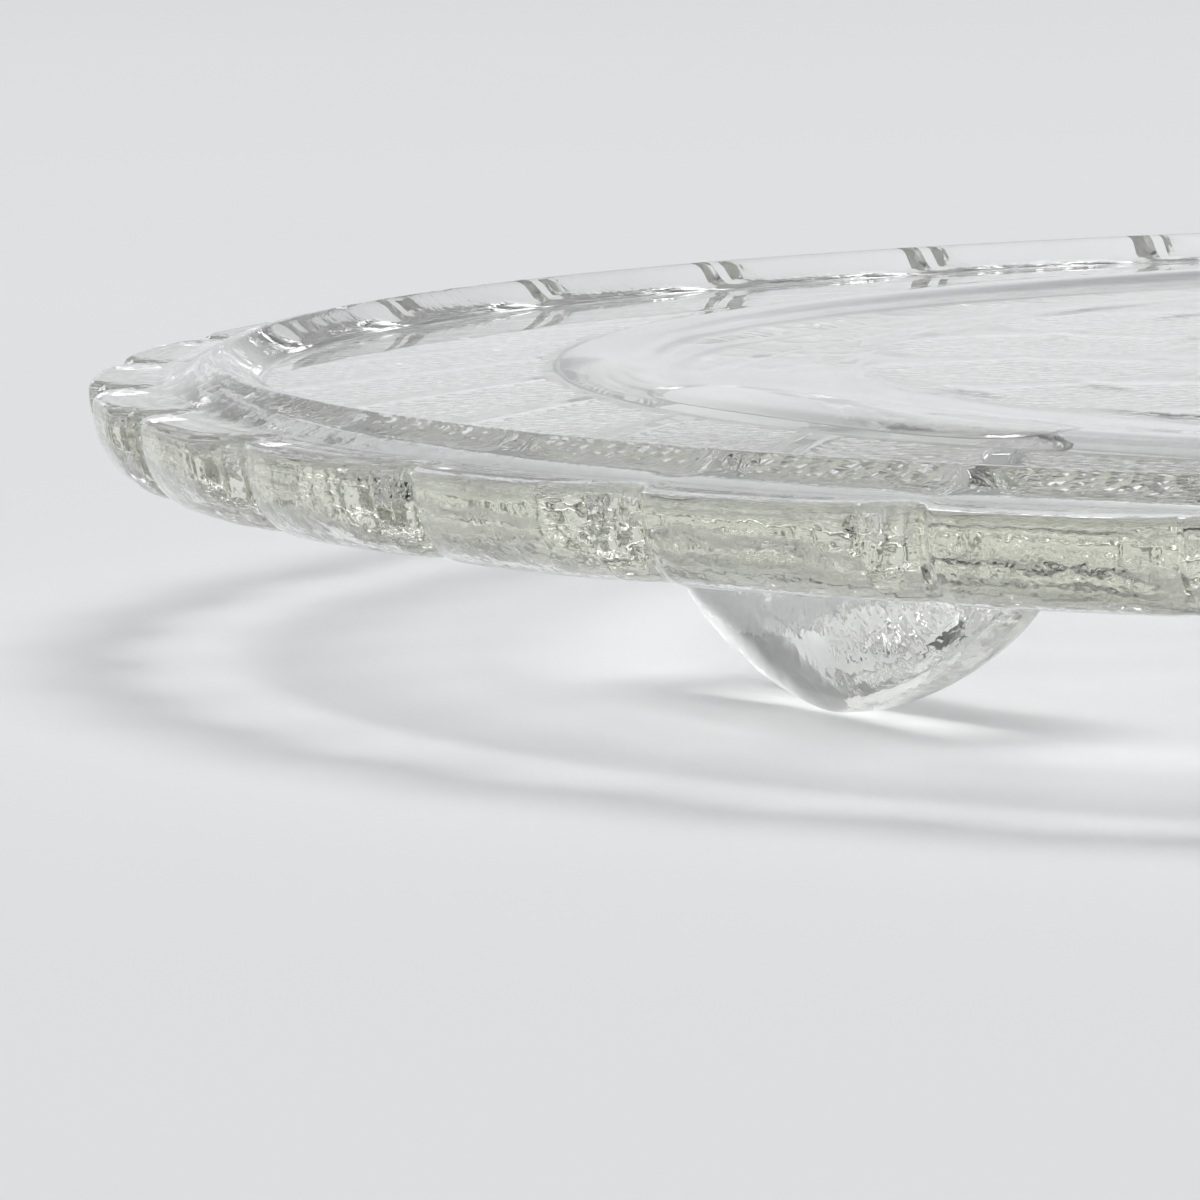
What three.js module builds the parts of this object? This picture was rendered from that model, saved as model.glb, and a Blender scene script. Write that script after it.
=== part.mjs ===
import * as THREE from "three";
import { mergeVertices } from "three/addons/utils/BufferGeometryUtils.js";

// Footed serving platter in clear pressed glass, millimetres, +Z up.
// The origin is on the table, under the middle of the plate. Bearings run from the front (-Y) towards +X.

// Plan sizes of the plate, from the edge inwards; the well takes what is left
const PLATE_RADIUS = 160;
const LEDGE_WIDTH = 6.9;
const BEAD_OUTER_RUN = 4.7;
const BEAD_INNER_RUN = 3.9;
const PANEL_BAND_WIDTH = 25.5;
const SHOULDER_WIDTH = 13;
const SEAT_RING_WIDTH = 23;
const PETAL_BAND_GAP = 3;
const PETAL_LENGTH = 28;

// Heights of the plate
const FOOT_HEIGHT = 18;
const LEDGE_ABOVE_SEAT = 6;
const RIM_DEPTH = 8;
const BEAD_HEIGHT = 2.2;
const PANEL_OUTER_DROP = 0.35;
const PANEL_INNER_RISE = 1;
const PANEL_THICKNESS = 5.9;
const SHOULDER_CROWN = 1.4;
const WELL_ABOVE_LEDGE = 0.5;
const WELL_THICKNESS = 6.3;

// Scalloped edge: one slightly bowed lobe per scallop and a rounded valley between two lobes
const SCALLOP_COUNT = 36;
const VALLEY_DEPTH = 4;
const LOBE_SAG = 0.15;
const EDGE_ROUND = 0.9;
const RIM_UNDERCUT = 6;
const RIM_SOLE_WIDTH = 3.5;
const SKIRT_RUN = 5;

// Swirl panels under the band: a clear strip between every two panels, slanted from the edge inwards
const SWIRL_SLANT_DEGREES = 8.2;
const STRIP_WIDTH = 3.6;
const STRIP_FLANK = 1.6;
const STRIP_DEPTH = 0.9;

// Oval petals under the well
const SCALLOPS_PER_PETAL = 2;
const PETAL_DEPTH = 0.8;

// Feet
const FOOT_COUNT = 3;
const FOOT_WIDTH = 58;
const FOOT_DEPTH = 16;
const FOOT_PAD_WIDTH = 3;
const FOOT_PAD_DEPTH = 3;
const FOOT_LEAN = 1.6;
const FOOT_TIP_POWER = 0.72;
const FOOT_SQUARENESS = 2.8;
const FOOT_COLUMNS = 28;

// Radii and levels that follow from the sizes
const TAU = Math.PI * 2;
const beadFootR = PLATE_RADIUS - LEDGE_WIDTH;
const beadCrestR = beadFootR - BEAD_OUTER_RUN;
const panelOuterR = beadCrestR - BEAD_INNER_RUN;
const panelInnerR = panelOuterR - PANEL_BAND_WIDTH;
const panelMiddleR = (panelOuterR + panelInnerR) / 2;
const wellR = panelInnerR - SHOULDER_WIDTH;
const shoulderMiddleR = (panelInnerR + wellR) / 2;
const seatInnerR = panelInnerR - SEAT_RING_WIDTH;
const seatMiddleR = (panelInnerR + seatInnerR) / 2;
const petalOuterR = seatInnerR - PETAL_BAND_GAP;
const petalMiddleR = petalOuterR - PETAL_LENGTH / 2;
const petalInnerR = petalOuterR - PETAL_LENGTH;
const rimSoleR = PLATE_RADIUS - RIM_UNDERCUT;
const skirtTopR = rimSoleR - RIM_SOLE_WIDTH - SKIRT_RUN;

const seatZ = FOOT_HEIGHT;
const ledgeZ = seatZ + LEDGE_ABOVE_SEAT;
const rimSoleZ = ledgeZ - RIM_DEPTH;
const beadZ = ledgeZ + BEAD_HEIGHT;
const panelOuterZ = ledgeZ - PANEL_OUTER_DROP;
const panelInnerZ = ledgeZ + PANEL_INNER_RISE;
const panelMiddleZ = (panelOuterZ + panelInnerZ) / 2;
const panelUnderZ = panelInnerZ - PANEL_THICKNESS;
const wellZ = ledgeZ + WELL_ABOVE_LEDGE;
const wellUnderZ = wellZ - WELL_THICKNESS;

const scallopAngle = TAU / SCALLOP_COUNT;
const swirlSlant = THREE.MathUtils.degToRad(SWIRL_SLANT_DEGREES);

const clearGlass = new THREE.MeshStandardMaterial({
  color: 0xe9eeea,
  roughness: 0.04,
  metalness: 0,
  transparent: true,
  opacity: 0.35,
});

// Columns of one scallop: the valley, whose width is the strip's with its flanks, then the lobe
const bandPitch = scallopAngle * panelMiddleR;
const stripHalf = STRIP_WIDTH / 2 / bandPitch;
const valleyHalf = stripHalf + STRIP_FLANK / bandPitch;
const lobeHalf = 0.5 - valleyHalf;
const lobeFace = lobeHalf / 3;
const columnShares = [-valleyHalf, -stripHalf, 0, stripHalf, valleyHalf, 0.5 - lobeFace, 0.5 + lobeFace];
const columnCount = SCALLOP_COUNT * columnShares.length;

// A station is one ring of the plate's section: radius, level, and its shares of scallop, strip and petal
function station(radius, level, shares = {}) {
  return { radius, level, scallop: 0, strip: 0, petal: 0, ...shares };
}

// Quarter-ellipse wall of a lobe, from the sole up to the rounded edge
function wallStation(turn) {
  const radius = rimSoleR + RIM_UNDERCUT * Math.sin(turn);
  const level = ledgeZ - EDGE_ROUND - (RIM_DEPTH - EDGE_ROUND) * Math.cos(turn);
  return station(radius, level, { scallop: 0.35 + 0.65 * Math.sin(turn) });
}

// The section runs from the axis out along the underside, up the scalloped edge and back over the top
const underside = [
  station(0, wellUnderZ),
  station(petalInnerR, wellUnderZ),
  station(petalMiddleR, wellUnderZ, { petal: 1 }),
  station(petalOuterR, wellUnderZ),
  station(seatInnerR, seatZ),
  station(panelInnerR, seatZ),
  station(panelInnerR + STRIP_FLANK, panelUnderZ, { strip: 1 }),
  station(panelMiddleR, panelUnderZ, { strip: 1 }),
  station(panelOuterR, panelUnderZ, { strip: 1 }),
  station(skirtTopR + STRIP_FLANK, panelUnderZ),
];
const edge = [
  station(rimSoleR - RIM_SOLE_WIDTH, rimSoleZ, { scallop: 0.2 }),
  wallStation(0),
  wallStation(Math.PI * 0.17),
  wallStation(Math.PI * 0.34),
  wallStation(Math.PI * 0.5),
  station(PLATE_RADIUS - EDGE_ROUND, ledgeZ, { scallop: 1 }),
];
const topside = [
  station(beadFootR, ledgeZ),
  station(beadCrestR + BEAD_OUTER_RUN / 3, ledgeZ + BEAD_HEIGHT * 0.8),
  station(beadCrestR, beadZ),
  station(panelOuterR, panelOuterZ),
  station(panelMiddleR, panelMiddleZ),
  station(panelInnerR, panelInnerZ),
  station(shoulderMiddleR + SHOULDER_WIDTH / 4, ledgeZ + SHOULDER_CROWN),
  station(shoulderMiddleR - SHOULDER_WIDTH / 4, ledgeZ + SHOULDER_CROWN),
  station(wellR, wellZ),
  station(petalMiddleR, wellZ),
  station(0, wellZ),
];
const section = [...underside, ...edge, ...topside];

// Edge outline: 0 at a lobe's middle, a little more at its ends, and 1 at the bottom of a valley
function valleyShare(share) {
  const fromValley = Math.abs(share) / valleyHalf;
  if (fromValley < 1) return LOBE_SAG + ((1 - LOBE_SAG) * (1 + Math.cos(Math.PI * fromValley))) / 2;
  const across = (share - 0.5) / lobeHalf;
  return LOBE_SAG * across * across;
}

// Clear strip between two panels: 1 on the strip's floor and 0 on the panel
function stripShareAt(share) {
  return THREE.MathUtils.clamp((valleyHalf - Math.abs(share)) / (valleyHalf - stripHalf), 0, 1);
}

// Oval petal: 1 along its middle, 0 at the clear line between two petals
function petalShareAt(scallop, share) {
  const across = ((scallop % SCALLOPS_PER_PETAL) + share) / SCALLOPS_PER_PETAL;
  return Math.abs(Math.sin(Math.PI * across));
}

// The bearing shifts with the radius across the panel band, so that every column follows a swirl line
function swirlAt(radius) {
  const inwards = (panelOuterR - radius) / PANEL_BAND_WIDTH;
  return -swirlSlant * THREE.MathUtils.clamp(inwards, 0, 1);
}

function buildPlate() {
  const outline = section.map((ring) => new THREE.Vector2(ring.radius, ring.level));
  const geometry = new THREE.LatheGeometry(outline, columnCount);
  const points = geometry.getAttribute("position");
  for (let column = 0; column <= columnCount; column += 1) {
    const scallop = Math.floor(column / columnShares.length) % SCALLOP_COUNT;
    const share = columnShares[column % columnShares.length];
    for (let row = 0; row < section.length; row += 1) {
      const ring = section[row];
      const radius = ring.radius - VALLEY_DEPTH * ring.scallop * valleyShare(share);
      const rise = STRIP_DEPTH * ring.strip * stripShareAt(share);
      const drop = PETAL_DEPTH * ring.petal * petalShareAt(scallop, share);
      const bearing = (scallop + share - 0.5) * scallopAngle + swirlAt(ring.radius);
      const x = radius * Math.sin(bearing);
      const y = -radius * Math.cos(bearing);
      points.setXYZ(column * section.length + row, x, y, ring.level + rise - drop);
    }
  }
  return closeGeometry(geometry);
}

// Growth of the foot from its pad to the plate: a rounded tip, then sides that turn upright
function footSpread(height) {
  return Math.pow(height * (2 - height), FOOT_TIP_POWER);
}

// Foot: a revolve drawn out to a rounded tab, wide where it joins the plate and narrowing to its pad
function buildFoot() {
  const levels = [0, 0.02, 0.07, 0.16, 0.29, 0.46, 0.68, 1];
  const outline = [new THREE.Vector2(0, 0)];
  for (const level of levels) outline.push(new THREE.Vector2(1, level * FOOT_HEIGHT));
  outline.push(new THREE.Vector2(0, FOOT_HEIGHT));
  const geometry = new THREE.LatheGeometry(outline, FOOT_COLUMNS);
  const points = geometry.getAttribute("position");
  const power = 2 / FOOT_SQUARENESS;
  for (let index = 0; index < points.count; index += 1) {
    const level = points.getY(index);
    const spread = footSpread(level / FOOT_HEIGHT);
    const halfWidth = THREE.MathUtils.lerp(FOOT_PAD_WIDTH, FOOT_WIDTH, spread) / 2;
    const halfDepth = THREE.MathUtils.lerp(FOOT_PAD_DEPTH, FOOT_DEPTH, spread) / 2;
    const lean = FOOT_LEAN * (1 - level / FOOT_HEIGHT);
    const across = points.getX(index);
    const along = -points.getZ(index);
    const x = halfWidth * Math.sign(across) * Math.pow(Math.abs(across), power);
    const y = halfDepth * Math.sign(along) * Math.pow(Math.abs(along), power) - lean;
    points.setXYZ(index, x, y, level);
  }
  return closeGeometry(geometry);
}

// Joins the revolve's seam and its points on the axis
function closeGeometry(geometry) {
  geometry.deleteAttribute("normal");
  geometry.deleteAttribute("uv");
  const closed = mergeVertices(geometry, 1e-4);
  closed.computeVertexNormals();
  return closed;
}

const platter = new THREE.Group();

const plate = new THREE.Mesh(buildPlate(), clearGlass);
plate.name = "plate";
platter.add(plate);

// The feet hang from the middle of the seat ring, the first one at the front
const footNames = ["foot_front", "foot_right", "foot_left"];
for (let place = 0; place < FOOT_COUNT; place += 1) {
  const turn = new THREE.Group();
  turn.rotation.z = (place * TAU) / FOOT_COUNT;
  const foot = new THREE.Mesh(buildFoot(), clearGlass);
  foot.name = footNames[place];
  foot.position.set(0, -seatMiddleR, 0);
  turn.add(foot);
  platter.add(turn);
}

export default platter;
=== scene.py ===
import math

import bpy
import numpy as np
from mathutils import Matrix


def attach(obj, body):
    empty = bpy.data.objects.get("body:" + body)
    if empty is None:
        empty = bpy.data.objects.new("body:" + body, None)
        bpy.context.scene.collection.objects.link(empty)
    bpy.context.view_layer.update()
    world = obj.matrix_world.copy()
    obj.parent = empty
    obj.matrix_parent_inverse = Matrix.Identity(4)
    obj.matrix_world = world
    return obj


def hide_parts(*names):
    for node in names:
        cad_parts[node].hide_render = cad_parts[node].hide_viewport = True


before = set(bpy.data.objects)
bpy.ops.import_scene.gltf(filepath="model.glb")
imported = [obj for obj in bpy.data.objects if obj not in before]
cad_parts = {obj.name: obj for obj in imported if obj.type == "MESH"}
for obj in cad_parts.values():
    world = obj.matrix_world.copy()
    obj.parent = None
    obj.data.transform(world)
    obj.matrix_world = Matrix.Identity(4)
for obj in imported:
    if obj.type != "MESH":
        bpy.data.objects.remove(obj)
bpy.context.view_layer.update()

# Sizes of the platter in millimetres, as in its CAD model
PLATE_RADIUS = 160.0
LEDGE_WIDTH = 6.9
BEAD_OUTER_RUN = 4.7
BEAD_INNER_RUN = 3.9
PANEL_BAND_WIDTH = 25.5
SHOULDER_WIDTH = 13.0
SEAT_RING_WIDTH = 23.0
PETAL_BAND_GAP = 3.0
PETAL_LENGTH = 28.0
FOOT_HEIGHT = 18.0
LEDGE_ABOVE_SEAT = 6.0
RIM_DEPTH = 8.0
BEAD_HEIGHT = 2.2
PANEL_OUTER_DROP = 0.35
PANEL_INNER_RISE = 1.0
PANEL_THICKNESS = 5.9
SHOULDER_CROWN = 1.4
WELL_ABOVE_LEDGE = 0.5
WELL_THICKNESS = 6.3
SCALLOP_COUNT = 36
VALLEY_DEPTH = 4.0
LOBE_SAG = 0.15
EDGE_ROUND = 0.9
RIM_UNDERCUT = 6.0
RIM_SOLE_WIDTH = 3.5
SKIRT_RUN = 5.0
SWIRL_SLANT = math.radians(8.2)
STRIP_WIDTH = 3.6
STRIP_FLANK = 1.6
STRIP_DEPTH = 0.9
SCALLOPS_PER_PETAL = 2
PETAL_DEPTH = 0.8
FOOT_WIDTH = 58.0
FOOT_DEPTH = 16.0
FOOT_PAD_WIDTH = 3.0
FOOT_PAD_DEPTH = 3.0
FOOT_LEAN = 1.6
FOOT_TIP_POWER = 0.72
FOOT_SQUARENESS = 2.8
FOOT_NAMES = ("foot_front", "foot_right", "foot_left")

# Shares of the valley depth at the sole's inner line and at the lower line of the edge
SOLE_SHARE = 0.2
EDGE_SHARE = 0.35

# Sizes of the fine surface only, in millimetres
MIDDLE_RADIUS = 2.0
CROWN_SHIFT = 1.0
SHOULDER_RUNOUT = 6.0
RUNOUT_END = 10.5
WELL_RINGS = (91.0, 79.0, 67.0, 55.0)
WELL_RING_HEIGHT = 0.2
WELL_RING_WIDTH = 1.6
WELL_RING_ROWS = (2.6, 1.5, 0.75, 0.0, -0.75, -1.5, -2.6)
WELL_MIDDLE_ROWS = (42.0, 30.0, 16.0, MIDDLE_RADIUS)
WELL_OVALS = 18
OVAL_MEAN = 0.55
OVAL_SWING = 0.45
PETAL_SOFTNESS = 0.4
LOBE_FLAT = 0.03
BEAD_PEAK = 0.3
LEDGE_GROOVE = 0.06
LEDGE_GROOVE_PITCH = 2.3
LEDGE_GROOVE_MARGIN = 0.2
LEDGE_GROOVE_FADE = 0.6
FOOT_FUSE = 0.3
MM = 0.001

# Mould waviness: strength at the lip, depth under the ledge where it grows, strength on the feet
WAVY_LIP = 0.45
WAVY_START = 2.5
WAVY_RUN = 3.0
WAVY_FOOT = 0.35

# Grid steps
CORNER_STEPS = 4
WALL_STEPS = 12
LIP_STEPS = 4
VALLEY_FLANK_STEPS = 2
STRIP_STEPS = 4
LOBE_STEPS = 8
FOOT_RINGS = 44
FOOT_SIDES = 96
CREASE_ANGLE = math.radians(38)

# Glass: texture scales are per metre, bump heights are in metres
GLASS_TINT = (0.95, 0.955, 0.915)
GLASS_DENSITY = 15.0
GLASS_IOR = 1.51
GLASS_ROUGHNESS = 0.012
STIPPLE_ROUGHNESS = 0.04
DRIFT_SCALE, DRIFT_DETAIL, DRIFT_HEIGHT = 45.0, 1.0, 0.00006
SWELL_SCALE, SWELL_DETAIL, SWELL_HEIGHT = 260.0, 3.0, 0.0003
GRAIN_SCALE, GRAIN_HEIGHT = 750.0, 0.00065

# Table and light; a room stop is (height of the direction, brightness), the ramp's two ends first
TABLE_HALF = 5.0
TABLE_TONES = ((0.80, 0.805, 0.81, 1.0), (0.815, 0.82, 0.825, 1.0))
TABLE_CLOUD_SCALE = 5.0
TABLE_ROUGHNESS = 0.7
TABLE_SPECULAR = 0.2
BACKDROP_STOPS = ((0.0, 0.8), (1.0, 1.4), (0.12, 0.8), (0.2, 0.3), (0.6, 0.36))
NEAR_ROOM_STOPS = ((0.0, 0.02), (1.0, 1.4), (0.6, 0.06))
ROOM_TINT = (1.0, 1.012, 1.03)
ROOM_STRENGTH = 0.95
NEAR_ROOM_SIDE = -0.6
BACKDROP_SIDE = 0.8
LAMP_PLACE = (-0.36, 0.26, 3.0)
LAMP_SIZE = 2.7
LAMP_ENERGY = 41.0

# View of the photograph: camera place, aim and lens, worked out for the plate standing as in the CAD frame
VIEW_DISTANCE = 0.90182
VIEW_RISE = math.radians(4.50)
VIEW_YAW = math.radians(-7.36)
VIEW_PITCH = math.radians(-1.35)
VIEW_ROLL = math.radians(0.16)
VIEW_FOCAL = 10296.89
VIEW_BEARING = math.radians(53.8)
VIEW_FRAME = 1200.0
VIEW_NEAREST = 0.01
SENSOR = 36.0

bead_foot_r = PLATE_RADIUS - LEDGE_WIDTH
bead_crest_r = bead_foot_r - BEAD_OUTER_RUN
panel_outer_r = bead_crest_r - BEAD_INNER_RUN
panel_inner_r = panel_outer_r - PANEL_BAND_WIDTH
panel_middle_r = (panel_outer_r + panel_inner_r) / 2
well_r = panel_inner_r - SHOULDER_WIDTH
shoulder_middle_r = (panel_inner_r + well_r) / 2
seat_inner_r = panel_inner_r - SEAT_RING_WIDTH
seat_middle_r = (panel_inner_r + seat_inner_r) / 2
petal_outer_r = seat_inner_r - PETAL_BAND_GAP
petal_inner_r = petal_outer_r - PETAL_LENGTH
lip_r = PLATE_RADIUS - EDGE_ROUND
rim_sole_r = PLATE_RADIUS - RIM_UNDERCUT
skirt_top_r = rim_sole_r - RIM_SOLE_WIDTH - SKIRT_RUN
seat_z = FOOT_HEIGHT
ledge_z = seat_z + LEDGE_ABOVE_SEAT
rim_sole_z = ledge_z - RIM_DEPTH
panel_outer_z = ledge_z - PANEL_OUTER_DROP
panel_inner_z = ledge_z + PANEL_INNER_RISE
panel_under_z = panel_inner_z - PANEL_THICKNESS
well_z = ledge_z + WELL_ABOVE_LEDGE
well_under_z = well_z - WELL_THICKNESS
scallop_angle = 2 * math.pi / SCALLOP_COUNT
band_pitch = scallop_angle * panel_middle_r
strip_half = STRIP_WIDTH / 2 / band_pitch
valley_half = strip_half + STRIP_FLANK / band_pitch
lobe_half = 0.5 - valley_half


def ease(value):
    """Smooth step: 0 below 0, 1 above 1, 3v^2 - 2v^3 between."""
    value = np.clip(value, 0.0, 1.0)
    return value * value * (3.0 - 2.0 * value)


def even_steps(start, stop, steps):
    """Evenly spaced values from start on, without the stop."""
    return np.linspace(start, stop, steps + 1)[:-1]


def by_row_and_column(row, column):
    """Grid of products, column value x row value."""
    return row[None, :] * column[:, None]


def rounded_section(corners):
    """Section line through corners given as (radius, level, rounding, steps to the next corner).

    Each corner is replaced by a quadratic arc that leaves and meets its two sides at the rounding's
    distance from the corner, and each straight stretch between arcs is divided evenly."""
    points = np.array([corner[:2] for corner in corners], dtype=float)
    line = [points[:1]]
    for place in range(1, len(corners)):
        here, before = points[place], points[place - 1]
        side = np.linalg.norm(here - before)
        cut_before, steps = corners[place - 1][2:]
        cut_here = corners[place][2]
        run = np.linspace(cut_before / side, 1.0 - cut_here / side, steps + 1)[1:, None]
        line.append(before + run * (here - before))
        if cut_here > 0 and place + 1 < len(corners):
            after = points[place + 1]
            out = here + (after - here) * cut_here / np.linalg.norm(after - here)
            start = line[-1][-1]
            turn = np.linspace(0.0, 1.0, CORNER_STEPS + 1)[1:, None]
            line.append((1 - turn) ** 2 * start + 2 * turn * (1 - turn) * here + turn ** 2 * out)
    return np.concatenate(line)


def underside_line():
    """Underside from near the axis outwards: well, petals, flat seat ring, panel band, skirt and sole."""
    return rounded_section([
        (MIDDLE_RADIUS, well_under_z, 0.0, 4),
        (petal_inner_r, well_under_z, 0.0, 12),
        (petal_outer_r, well_under_z, 1.0, 1),
        (seat_inner_r, seat_z, 1.0, 3),
        (panel_inner_r, seat_z, 0.5, 1),
        (panel_inner_r + STRIP_FLANK, panel_under_z, 0.5, 8),
        (skirt_top_r + STRIP_FLANK, panel_under_z, 0.9, 2),
        (rim_sole_r - RIM_SOLE_WIDTH, rim_sole_z, 1.4, 1),
        (rim_sole_r, rim_sole_z, 0.0, 1),
    ])


def edge_line():
    """Scalloped edge from the sole up: a quarter ellipse to the full radius, then a small quarter round."""
    turn = np.linspace(0.0, math.pi / 2, WALL_STEPS + 1)[1:]
    wall_r = rim_sole_r + RIM_UNDERCUT * np.sin(turn)
    wall_z = ledge_z - EDGE_ROUND - (RIM_DEPTH - EDGE_ROUND) * np.cos(turn)
    lip = np.linspace(0.0, math.pi / 2, LIP_STEPS + 1)[1:-1]
    round_r = PLATE_RADIUS - EDGE_ROUND * (1 - np.cos(lip))
    round_z = ledge_z - EDGE_ROUND * (1 - np.sin(lip))
    share = np.concatenate([EDGE_SHARE + (1 - EDGE_SHARE) * np.sin(turn), np.ones(len(lip))])
    return np.stack([np.concatenate([wall_r, round_r]), np.concatenate([wall_z, round_z])], 1), share


def topside_line():
    """Top from the scalloped edge inwards: ledge, bead, panel band, crowned shoulder and rippled well."""
    line = rounded_section([
        (lip_r, ledge_z, 0.0, 14),
        (bead_foot_r, ledge_z, 2.2, 1),
        (bead_crest_r, ledge_z + BEAD_HEIGHT + BEAD_PEAK, 1.4, 2),
        (panel_outer_r, panel_outer_z, 1.8, 4),
        (panel_inner_r, panel_inner_z, 0.4, 3),
        (shoulder_middle_r + CROWN_SHIFT, ledge_z + SHOULDER_CROWN, 3.0, 3),
        (well_r - SHOULDER_RUNOUT, well_z, 4.0, 1),
        (well_r - RUNOUT_END, well_z, 0.0, 1),
    ])
    rings = (np.array(WELL_RINGS)[:, None] + np.array(WELL_RING_ROWS)).reshape(-1)
    well = np.concatenate([rings, WELL_MIDDLE_ROWS])
    return np.concatenate([line, np.stack([well, np.full(len(well), well_z)], 1)])


def plate_surface():
    """Scalloped plate as a closed grid: rows follow the section, columns follow swirl lines.

    radius = section radius - valley depth x row's scallop share x outline, with u in scallops: the
    outline is sag x ((u - 0.5) / half lobe)^2 on a lobe, flat at its middle, and
    sag + (1 - sag) (1 + cos(pi u / half valley)) / 2 in a valley;
    level = section level + strip depth on the strips - petal depth inside the oval along^2 + across^2 < 1
    + low rings round the well, broken by a wave round it - shallow grooves round the ledge;
    bearing = lobe + u, turned back by the slant across the band."""
    under, (edge, edge_share), top = underside_line(), edge_line(), topside_line()
    radius, level = np.concatenate([under, edge, top]).T
    side = np.repeat(["under", "edge", "top"], [len(under), len(edge), len(top)])
    on_under, on_edge, on_top = side == "under", side == "edge", side == "top"

    sole = ease((radius - rim_sole_r + RIM_SOLE_WIDTH) / RIM_SOLE_WIDTH)
    scallop_row = SOLE_SHARE + (EDGE_SHARE - SOLE_SHARE) * sole
    scallop_row = scallop_row * ease((radius - skirt_top_r - STRIP_FLANK) / SKIRT_RUN)
    scallop_row[on_edge] = edge_share
    scallop_row[on_top] = np.clip((radius[on_top] - bead_foot_r) / (lip_r - bead_foot_r), 0, 1)
    strip_row = on_under * ease((radius - panel_inner_r) / STRIP_FLANK)
    strip_row = strip_row * ease((panel_outer_r + STRIP_FLANK - radius) / STRIP_FLANK)
    petal_row = 1 - (2 * np.clip((radius - petal_inner_r) / PETAL_LENGTH, 0, 1) - 1) ** 2
    swirl_row = -SWIRL_SLANT * np.clip((panel_outer_r - radius) / PANEL_BAND_WIDTH, 0, 1)
    rings = np.exp(-((radius[:, None] - np.array(WELL_RINGS)) / WELL_RING_WIDTH) ** 2).sum(1)
    ring_row = WELL_RING_HEIGHT * on_top * rings
    ledge_row = on_top * (radius > bead_foot_r)
    ledge_row = ledge_row * ease((lip_r - LEDGE_GROOVE_MARGIN - radius) / LEDGE_GROOVE_FADE)
    groove_turn = 2 * math.pi * (radius - bead_foot_r) / LEDGE_GROOVE_PITCH
    groove_row = LEDGE_GROOVE * ledge_row * (0.5 - 0.5 * np.cos(groove_turn))
    lower_edge = ease((ledge_z - WAVY_START - level) / WAVY_RUN)
    wavy_row = on_edge * (WAVY_LIP + (1 - WAVY_LIP) * lower_edge) + on_under * (radius > skirt_top_r)

    share = np.concatenate([
        even_steps(-valley_half, -strip_half, VALLEY_FLANK_STEPS),
        even_steps(-strip_half, strip_half, STRIP_STEPS),
        even_steps(strip_half, valley_half, VALLEY_FLANK_STEPS),
        even_steps(valley_half, 1 - valley_half, LOBE_STEPS),
    ])
    lobe = np.repeat(np.arange(SCALLOP_COUNT), len(share))
    u = np.tile(share, SCALLOP_COUNT)
    valley = 0.5 + 0.5 * np.cos(math.pi * np.clip(np.abs(u) / valley_half, 0, 1))
    face = np.maximum(LOBE_SAG * ((u - 0.5) / lobe_half) ** 2, LOBE_FLAT)
    outline = np.where(np.abs(u) < valley_half, LOBE_SAG + (1 - LOBE_SAG) * valley, face)
    strip = ease((valley_half - np.abs(u)) / (valley_half - strip_half))
    on_petal = 2 * (((lobe % SCALLOPS_PER_PETAL) + u) / SCALLOPS_PER_PETAL) - 1
    petal = ease((petal_row[None, :] - (on_petal ** 2)[:, None]) / PETAL_SOFTNESS) * on_under[None, :]
    straight = (lobe + u - 0.5) * scallop_angle
    ovals = OVAL_MEAN + OVAL_SWING * np.cos(WELL_OVALS * straight)

    r = radius[None, :] - VALLEY_DEPTH * by_row_and_column(scallop_row, outline)
    z = level[None, :] + STRIP_DEPTH * by_row_and_column(strip_row, strip) - PETAL_DEPTH * petal
    z = z + by_row_and_column(ring_row, ovals) - groove_row[None, :]
    bearing = straight[:, None] + swirl_row[None, :]
    points = np.stack([r * np.sin(bearing), -r * np.cos(bearing), z], 2)
    stipple = by_row_and_column(strip_row, 1 - strip) + petal
    return points, {"stipple": stipple, "wavy": np.broadcast_to(wavy_row, stipple.shape)}


def foot_surface(turn):
    """Foot: superellipse rings that grow from the pad to the plate, with a rounded tip and upright sides.

    spread = (height share x (2 - height share)) ^ tip power;
    half size = pad / 2 + (top - pad) / 2 x spread, and each ring's middle leans outwards by
    lean x (1 - height share); the foot is turned about the plate's axis."""
    height = np.concatenate([np.linspace(0, 1, FOOT_RINGS) ** 2, [1 + FOOT_FUSE / FOOT_HEIGHT]])
    share = np.minimum(height, 1.0)
    spread = (share * (2 - share)) ** FOOT_TIP_POWER
    half_width = (FOOT_PAD_WIDTH + (FOOT_WIDTH - FOOT_PAD_WIDTH) * spread) / 2
    half_depth = (FOOT_PAD_DEPTH + (FOOT_DEPTH - FOOT_PAD_DEPTH) * spread) / 2
    middle = -seat_middle_r - FOOT_LEAN * (1 - share)
    angle = even_steps(0, 2 * math.pi, FOOT_SIDES)
    power = 2 / FOOT_SQUARENESS
    wide = np.sign(np.cos(angle)) * np.abs(np.cos(angle)) ** power
    deep = np.sign(np.sin(angle)) * np.abs(np.sin(angle)) ** power
    x = by_row_and_column(half_width, wide)
    y = by_row_and_column(half_depth, deep) + middle[None, :]
    z = np.broadcast_to(height * FOOT_HEIGHT, x.shape)
    c, s = math.cos(turn), math.sin(turn)
    points = np.stack([c * x - s * y, s * x + c * y, z], 2)
    return points, {"stipple": np.zeros(x.shape), "wavy": np.full(x.shape, WAVY_FOOT)}


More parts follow.
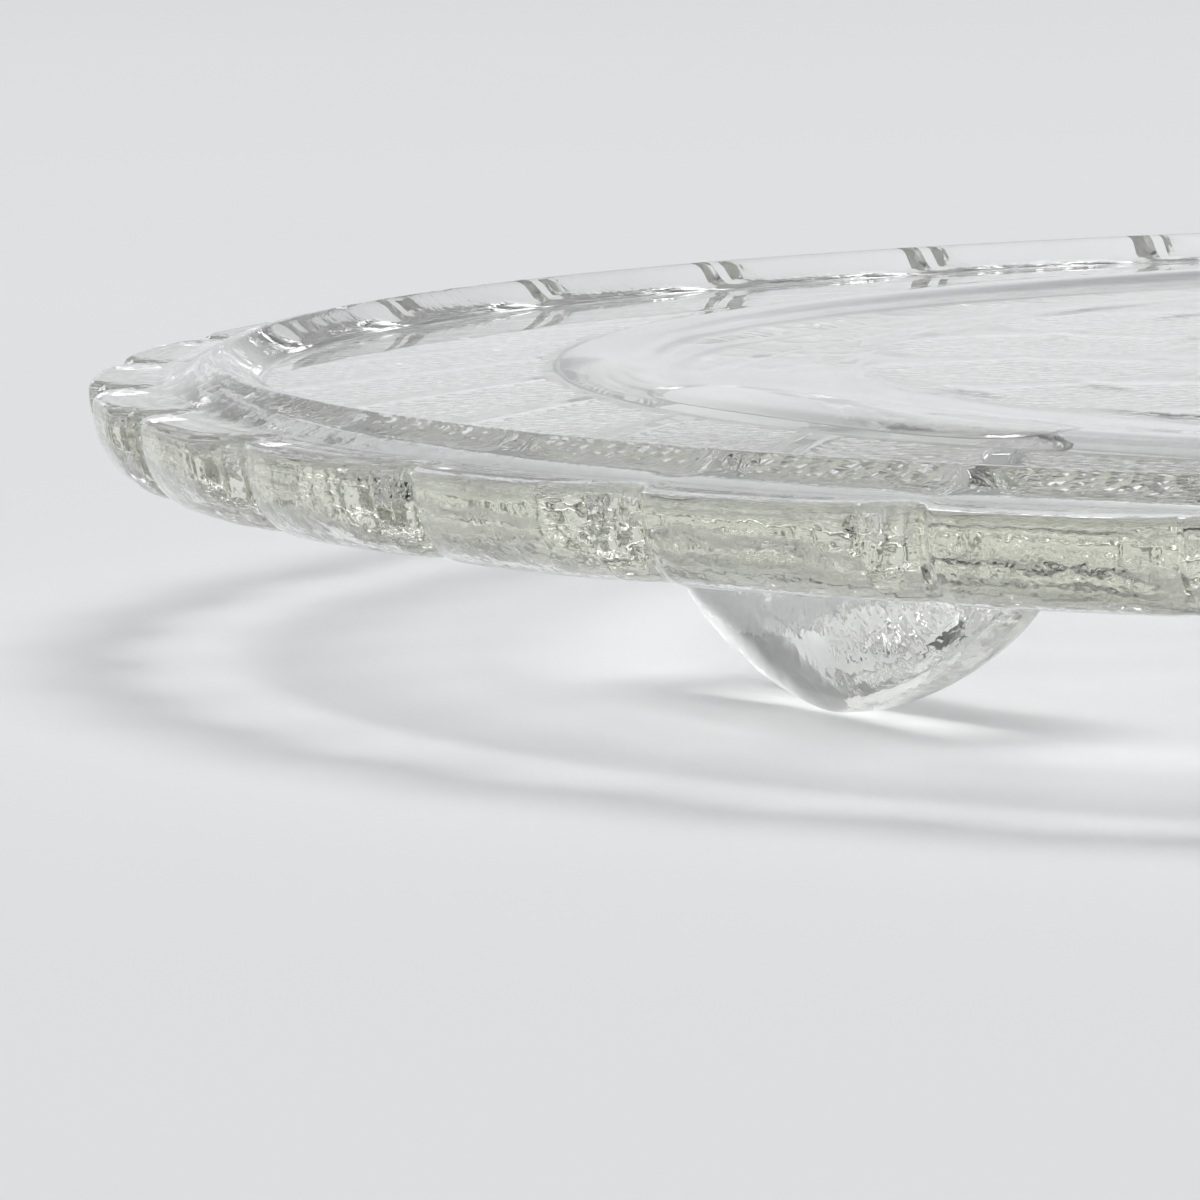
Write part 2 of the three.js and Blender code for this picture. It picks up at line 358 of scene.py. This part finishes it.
def closed_grid(name, points, marks):
    """Mesh of a grid that closes round its columns, with a fan to a middle point at each end of its rows.

    It is shaded smooth, with creases steeper than the crease angle kept sharp; the marks become
    attributes of its points."""
    columns, rows = points.shape[:2]
    ends = np.stack([points[:, 0].mean(0), points[:, -1].mean(0)])
    vertices = np.concatenate([points.reshape(-1, 3), ends]) * MM
    index = np.arange(columns * rows).reshape(columns, rows)
    after = np.roll(index, -1, axis=0)
    quads = np.stack([index[:, :-1], after[:, :-1], after[:, 1:], index[:, 1:]], 2).reshape(-1, 4)
    low = np.stack([np.full(columns, columns * rows), after[:, 0], index[:, 0]], 1)
    high = np.stack([np.full(columns, columns * rows + 1), index[:, -1], after[:, -1]], 1)
    mesh = bpy.data.meshes.new(name)
    mesh.from_pydata(vertices, [], quads.tolist() + low.tolist() + high.tolist())
    mesh.polygons.foreach_set("use_smooth", np.ones(len(mesh.polygons), dtype=bool))
    for mark, values in marks.items():
        layer = mesh.attributes.new(mark, "FLOAT", "POINT")
        values = np.concatenate([values.reshape(-1), np.zeros(len(ends))])
        layer.data.foreach_set("value", values.astype(np.float32))
    mesh.update()
    mesh.set_sharp_from_angle(angle=CREASE_ANGLE)
    piece = bpy.data.objects.new(name, mesh)
    bpy.context.collection.objects.link(piece)
    return piece


def clear_glass(name):
    """Clear pressed glass: slight mould waviness, more on the edge, and stipple under the panels."""
    material = bpy.data.materials.new(name)
    material.use_nodes = True
    nodes, links = material.node_tree.nodes, material.node_tree.links
    nodes.clear()
    out = nodes.new("ShaderNodeOutputMaterial")
    glass = nodes.new("ShaderNodeBsdfPrincipled")
    glass.inputs["Base Color"].default_value = (1.0, 1.0, 1.0, 1.0)
    glass.inputs["Roughness"].default_value = GLASS_ROUGHNESS
    glass.inputs["IOR"].default_value = GLASS_IOR
    glass.inputs["Transmission Weight"].default_value = 1.0
    body = nodes.new("ShaderNodeVolumeAbsorption")
    body.inputs["Color"].default_value = (*GLASS_TINT, 1.0)
    body.inputs["Density"].default_value = GLASS_DENSITY
    where = nodes.new("ShaderNodeTexCoord")
    stipple = nodes.new("ShaderNodeAttribute")
    stipple.attribute_name = "stipple"
    wavy = nodes.new("ShaderNodeAttribute")
    wavy.attribute_name = "wavy"
    grain = nodes.new("ShaderNodeTexVoronoi")
    grain.inputs["Scale"].default_value = GRAIN_SCALE
    swell = nodes.new("ShaderNodeTexNoise")
    swell.inputs["Scale"].default_value = SWELL_SCALE
    swell.inputs["Detail"].default_value = SWELL_DETAIL
    drift = nodes.new("ShaderNodeTexNoise")
    drift.inputs["Scale"].default_value = DRIFT_SCALE
    drift.inputs["Detail"].default_value = DRIFT_DETAIL
    frost = nodes.new("ShaderNodeMapRange")
    frost.inputs["To Min"].default_value = GLASS_ROUGHNESS
    frost.inputs["To Max"].default_value = STIPPLE_ROUGHNESS
    links.new(stipple.outputs["Fac"], frost.inputs["Value"])
    links.new(frost.outputs["Result"], glass.inputs["Roughness"])
    normal = None
    for texture, output, mark, height in (
            (drift, "Fac", None, DRIFT_HEIGHT),
            (swell, "Fac", wavy, SWELL_HEIGHT),
            (grain, "Distance", stipple, GRAIN_HEIGHT)):
        links.new(where.outputs["Object"], texture.inputs["Vector"])
        bump = nodes.new("ShaderNodeBump")
        bump.inputs["Distance"].default_value = height
        bump.inputs["Strength"].default_value = 1.0
        links.new(texture.outputs[output], bump.inputs["Height"])
        if mark is not None:
            links.new(mark.outputs["Fac"], bump.inputs["Strength"])
        if normal is not None:
            links.new(normal, bump.inputs["Normal"])
        normal = bump.outputs["Normal"]
    links.new(normal, glass.inputs["Normal"])
    links.new(glass.outputs["BSDF"], out.inputs["Surface"])
    links.new(body.outputs["Volume"], out.inputs["Volume"])
    return material


def table_finish():
    """Matt, pale table top with a very faint cloudiness."""
    material = bpy.data.materials.new("pale_table")
    material.use_nodes = True
    nodes, links = material.node_tree.nodes, material.node_tree.links
    surface = nodes["Principled BSDF"]
    surface.inputs["Roughness"].default_value = TABLE_ROUGHNESS
    surface.inputs["Specular IOR Level"].default_value = TABLE_SPECULAR
    where = nodes.new("ShaderNodeTexCoord")
    cloud = nodes.new("ShaderNodeTexNoise")
    cloud.inputs["Scale"].default_value = TABLE_CLOUD_SCALE
    tone = nodes.new("ShaderNodeMix")
    tone.data_type = "RGBA"
    tone.inputs["A"].default_value, tone.inputs["B"].default_value = TABLE_TONES
    links.new(where.outputs["Object"], cloud.inputs["Vector"])
    links.new(cloud.outputs["Fac"], tone.inputs["Factor"])
    links.new(tone.outputs["Result"], surface.inputs["Base Color"])
    return material


def add_table():
    """Flat square table, far wider than the view."""
    side = np.linspace(-TABLE_HALF, TABLE_HALF, 3)
    x, y = np.meshgrid(side, side, indexing="ij")
    vertices = np.stack([x, y, np.zeros_like(x)], 2).reshape(-1, 3)
    index = np.arange(x.size).reshape(x.shape)
    quads = np.stack([index[:-1, :-1], index[1:, :-1], index[1:, 1:], index[:-1, 1:]], 2).reshape(-1, 4)
    mesh = bpy.data.meshes.new("table")
    mesh.from_pydata(vertices, [], quads.tolist())
    mesh.update()
    table = bpy.data.objects.new("table", mesh)
    bpy.context.collection.objects.link(table)
    table.data.materials.append(table_finish())


def add_camera():
    """Long-lens camera just above the plate, aimed left of its middle."""
    rise = np.array([0.0, -math.cos(VIEW_RISE), math.sin(VIEW_RISE)])
    ahead = -rise
    right = np.array([1.0, 0.0, 0.0])
    up = np.cross(right, ahead)
    cy, sy = math.cos(VIEW_YAW), math.sin(VIEW_YAW)
    cp, sp = math.cos(VIEW_PITCH), math.sin(VIEW_PITCH)
    cr, sr = math.cos(VIEW_ROLL), math.sin(VIEW_ROLL)
    cb, sb = math.cos(VIEW_BEARING), math.sin(VIEW_BEARING)
    roll = np.array([[cr, -sr, 0], [sr, cr, 0], [0, 0, 1]])
    pitch = np.array([[1, 0, 0], [0, cp, -sp], [0, sp, cp]])
    yaw = np.array([[cy, 0, -sy], [0, 1, 0], [sy, 0, cy]])
    about = np.array([[cb, -sb, 0], [sb, cb, 0], [0, 0, 1]])
    axes = roll @ pitch @ yaw @ np.stack([right, up, ahead]) @ about.T
    place = about @ (rise * VIEW_DISTANCE) + np.array([0.0, 0.0, ledge_z * MM])
    lens = bpy.data.cameras.new("camera")
    lens.sensor_width = SENSOR
    lens.lens = SENSOR * VIEW_FOCAL / VIEW_FRAME
    lens.clip_start = VIEW_NEAREST
    camera = bpy.data.objects.new("camera", lens)
    matrix = np.eye(4)
    matrix[:3] = np.stack([axes[0], axes[1], -axes[2], place], 1)
    camera.matrix_world = Matrix(matrix.tolist())
    bpy.context.collection.objects.link(camera)
    bpy.context.scene.camera = camera


def add_lamp():
    """Square soft box overhead, facing down.

    It is left out of mirror reflections, so that it doesn't whiten the flat well from above."""
    lamp = bpy.data.lights.new("overhead_box", "AREA")
    lamp.shape = "SQUARE"
    lamp.size = LAMP_SIZE
    lamp.energy = LAMP_ENERGY
    box = bpy.data.objects.new("overhead_box", lamp)
    box.location = LAMP_PLACE
    box.visible_glossy = False
    bpy.context.collection.objects.link(box)


def room_side(nodes, name, stops):
    """Ramp of room brightness over the height of a direction, 0 at the horizon and 1 overhead."""
    ramp = nodes.new("ShaderNodeValToRGB")
    ramp.name = name
    ends = list(ramp.color_ramp.elements)
    for place, (height, level) in enumerate(stops):
        if place < len(ends):
            stop = ramp.color_ramp.elements[place]
            stop.position = height
        else:
            stop = ramp.color_ramp.elements.new(height)
        stop.color = (*(level * tint for tint in ROOM_TINT), 1.0)
    return ramp


def add_room():
    """Soft room light: a low pale backdrop behind the platter, a dim room round the camera, a pale ceiling.

    The backdrop's share rises smoothly with the bearing from the camera's side to the far side."""
    world = bpy.data.worlds.new("soft_room")
    bpy.context.scene.world = world
    world.use_nodes = True
    nodes, links = world.node_tree.nodes, world.node_tree.links
    light = nodes["Background"]
    where = nodes.new("ShaderNodeTexCoord")
    turn = nodes.new("ShaderNodeMapping")
    turn.inputs["Rotation"].default_value = (0.0, 0.0, -VIEW_BEARING)
    split = nodes.new("ShaderNodeSeparateXYZ")
    backdrop = room_side(nodes, "backdrop", BACKDROP_STOPS)
    near_room = room_side(nodes, "near_room", NEAR_ROOM_STOPS)
    bearing = nodes.new("ShaderNodeMapRange")
    bearing.interpolation_type = "SMOOTHSTEP"
    bearing.inputs["From Min"].default_value = NEAR_ROOM_SIDE
    bearing.inputs["From Max"].default_value = BACKDROP_SIDE
    room = nodes.new("ShaderNodeMix")
    room.data_type = "RGBA"
    links.new(where.outputs["Generated"], turn.inputs["Vector"])
    links.new(turn.outputs["Vector"], split.inputs["Vector"])
    links.new(split.outputs["Y"], bearing.inputs["Value"])
    links.new(split.outputs["Z"], backdrop.inputs["Fac"])
    links.new(split.outputs["Z"], near_room.inputs["Fac"])
    links.new(bearing.outputs["Result"], room.inputs["Factor"])
    links.new(near_room.outputs["Color"], room.inputs["A"])
    links.new(backdrop.outputs["Color"], room.inputs["B"])
    links.new(room.outputs["Result"], light.inputs["Color"])
    light.inputs["Strength"].default_value = ROOM_STRENGTH


plate_finish = clear_glass("plate_glass")
foot_finish = clear_glass("foot_glass")

plate = closed_grid("plate_glass_body", *plate_surface())
plate.data.materials.append(plate_finish)
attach(plate, "root")
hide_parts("plate")

for place, node in enumerate(FOOT_NAMES):
    foot = closed_grid(node + "_glass", *foot_surface(place * 2 * math.pi / len(FOOT_NAMES)))
    foot.data.materials.append(foot_finish)
    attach(foot, "root")
    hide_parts(node)

add_table()
add_camera()
add_room()
add_lamp()
bpy.context.scene.cycles.blur_glossy = 0.0
bpy.context.scene.cycles.max_bounces = 24
bpy.context.scene.cycles.transmission_bounces = 24
bpy.context.scene.cycles.glossy_bounces = 12
bpy.context.scene.view_settings.view_transform = "Standard"
